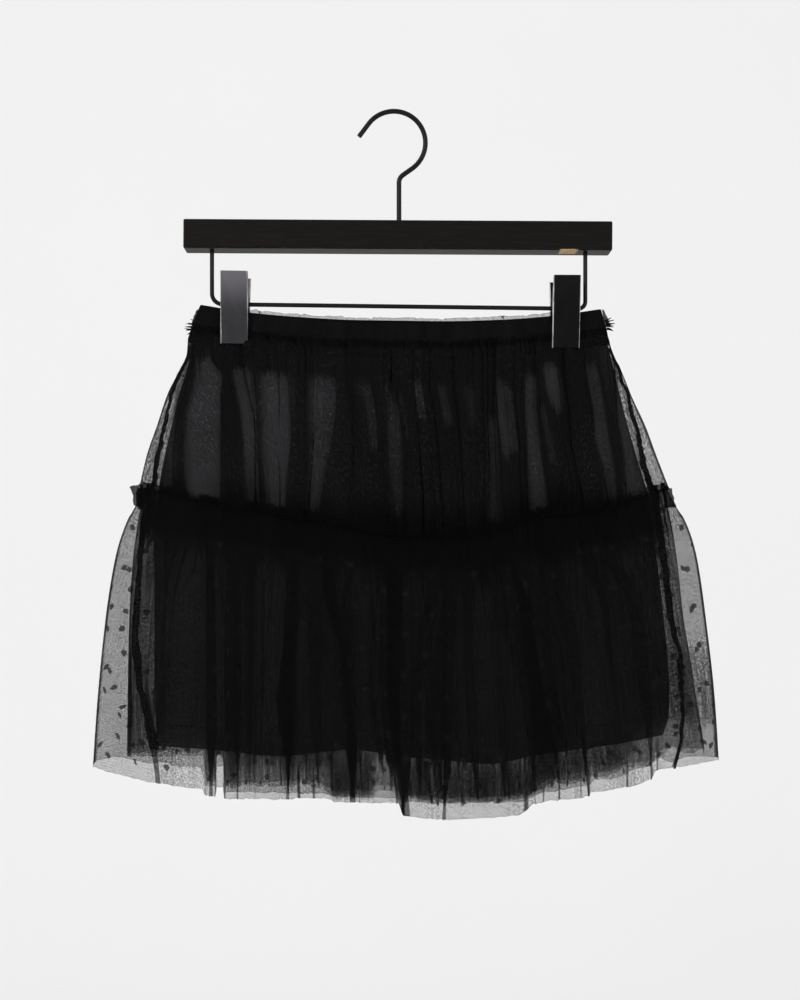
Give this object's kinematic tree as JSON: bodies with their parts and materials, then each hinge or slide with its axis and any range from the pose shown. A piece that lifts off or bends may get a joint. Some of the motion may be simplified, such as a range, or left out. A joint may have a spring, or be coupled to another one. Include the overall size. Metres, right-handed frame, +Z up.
{
  "type": "layered skirt on a clip hanger",
  "caption": "Gathered tulle skirt in tiers over an opaque lining, hung by its elastic waistband from sprung clips on a wooden bar hanger with a wire hook.",
  "frame": {"origin": "underside of the hook's crown, where the hanger hangs", "axes": "+Z up, +X to the viewer's right across the bar, +Y from the skirt's front to its back, so the front faces -Y"},
  "size_m": [0.4372, 0.0754, 0.4898],
  "materials": {
    "lacquered_wood": "satin black lacquer, bare tan wood where chipped",
    "coated_wire": "semi-gloss black coating on steel wire",
    "clip_sheet": "satin black coating on pressed steel sheet",
    "waistband_cloth": "matt black elastic in a ribbed casing",
    "plain_tulle": "fine sheer black hexagonal net, matt",
    "dotted_tulle": "fine sheer black net with small flocked dots",
    "lining_cloth": "opaque black knitted lining with a soft sheen"
  },
  "bodies": {
    "root": {"hanger_bar": "lacquered_wood", "hook": "coated_wire", "clip_rail": "coated_wire", "clip_left_front": "clip_sheet", "clip_left_back": "clip_sheet", "clip_left_spring": "coated_wire", "clip_right_front": "clip_sheet", "clip_right_back": "clip_sheet", "clip_right_spring": "coated_wire", "waistband_front": "waistband_cloth", "waistband_back": "waistband_cloth", "upper_tier_front": "plain_tulle", "upper_tier_back": "plain_tulle", "lower_tier_front": "dotted_tulle", "lower_tier_back": "dotted_tulle", "under_tier_front": "plain_tulle", "under_tier_back": "plain_tulle", "lining_front": "lining_cloth", "lining_back": "lining_cloth"}
  },
  "joints": []
}
